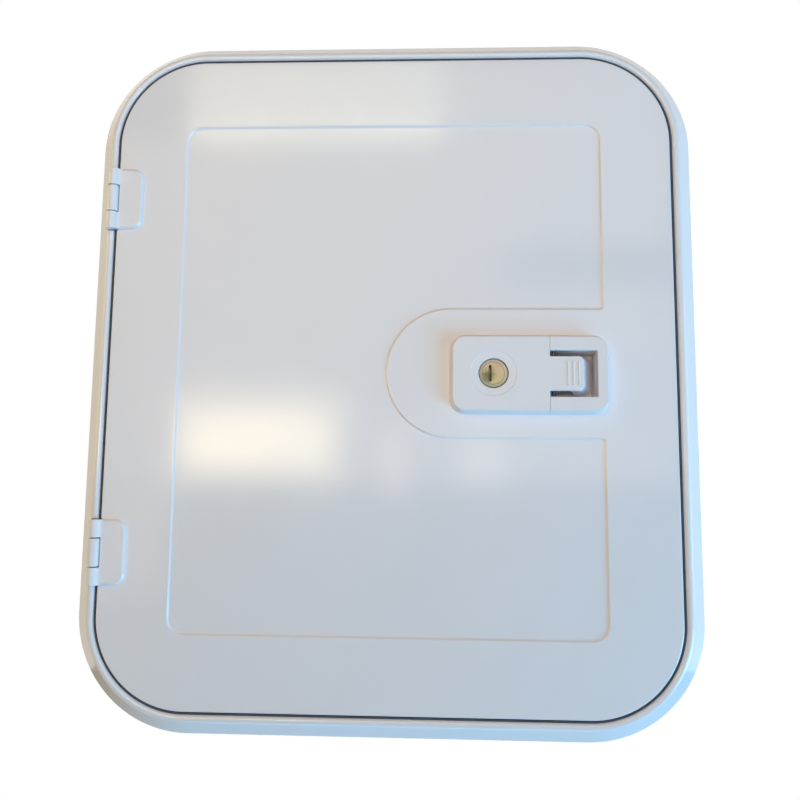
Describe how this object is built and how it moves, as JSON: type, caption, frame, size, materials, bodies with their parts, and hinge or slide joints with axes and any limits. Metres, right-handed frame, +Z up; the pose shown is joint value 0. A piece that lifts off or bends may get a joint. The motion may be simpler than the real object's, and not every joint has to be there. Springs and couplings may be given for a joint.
{
  "type": "caravan service hatch door",
  "caption": "Rounded service hatch for a caravan side wall: moulded frame, hinged door with a sunk field, and a key-locked press latch.",
  "frame": {"origin": "on the flat back face of the frame's rim, in the wall plane, midway along the rim's bottom bar", "axes": "+X to the right seen from outside, +Y into the caravan, +Z up; the door faces -Y"},
  "size_m": [0.3414, 0.051, 0.3924],
  "materials": {
    "white_moulding": "glossy moulded white",
    "inner_moulding": "satin moulded white",
    "latch_moulding": "glossy moulded white",
    "case_moulding": "plain moulded grey",
    "seal_rubber": "black rubber",
    "screw_steel": "bright zinc",
    "pin_steel": "blackened steel",
    "lock_nickel": "nickel plated",
    "lock_brass": "worn brass"
  },
  "bodies": {
    "frame": {"outer_frame": "white_moulding", "door_seal": "seal_rubber", "inner_frame": "inner_moulding", "frame_screws": "screw_steel", "keeper": "screw_steel", "keeper_screws": "screw_steel", "hinge_pin_top": "pin_steel", "hinge_pin_bottom": "pin_steel"},
    "door": {"door_panel": "white_moulding", "door_liner": "inner_moulding", "liner_screws": "screw_steel", "hinge_leaf_top": "white_moulding", "hinge_leaf_bottom": "white_moulding", "latch_bezel": "latch_moulding", "latch_cover": "latch_moulding", "latch_case": "case_moulding", "latch_screws": "screw_steel", "latch_bolt": "screw_steel", "bolt_guide": "case_moulding", "lock_barrel": "lock_nickel", "tab_pin": "pin_steel"},
    "tab": {"latch_tab": "latch_moulding"},
    "key": {"key_plug": "lock_brass", "lock_cam": "screw_steel"}
  },
  "joints": [
    {"name": "door_swing", "type": "hinge", "parent": "frame", "child": "door", "pos_m": [-0.159, -0.0135, 0.1912], "axis": [0, 0, -1], "range_deg": [0, 170]},
    {"name": "tab_press", "type": "hinge", "parent": "door", "child": "tab", "pos_m": [0.0899, -0.0143, 0.1902], "axis": [0, 0, 1], "range_deg": [0, 10], "stiffness_Nm_per_rad": 1, "springref_deg": -2.86},
    {"name": "key_turn", "type": "hinge", "parent": "door", "child": "key", "pos_m": [0.0571, -0.012, 0.1902], "axis": [0, 1, 0], "range_deg": [0, 90]}
  ]
}
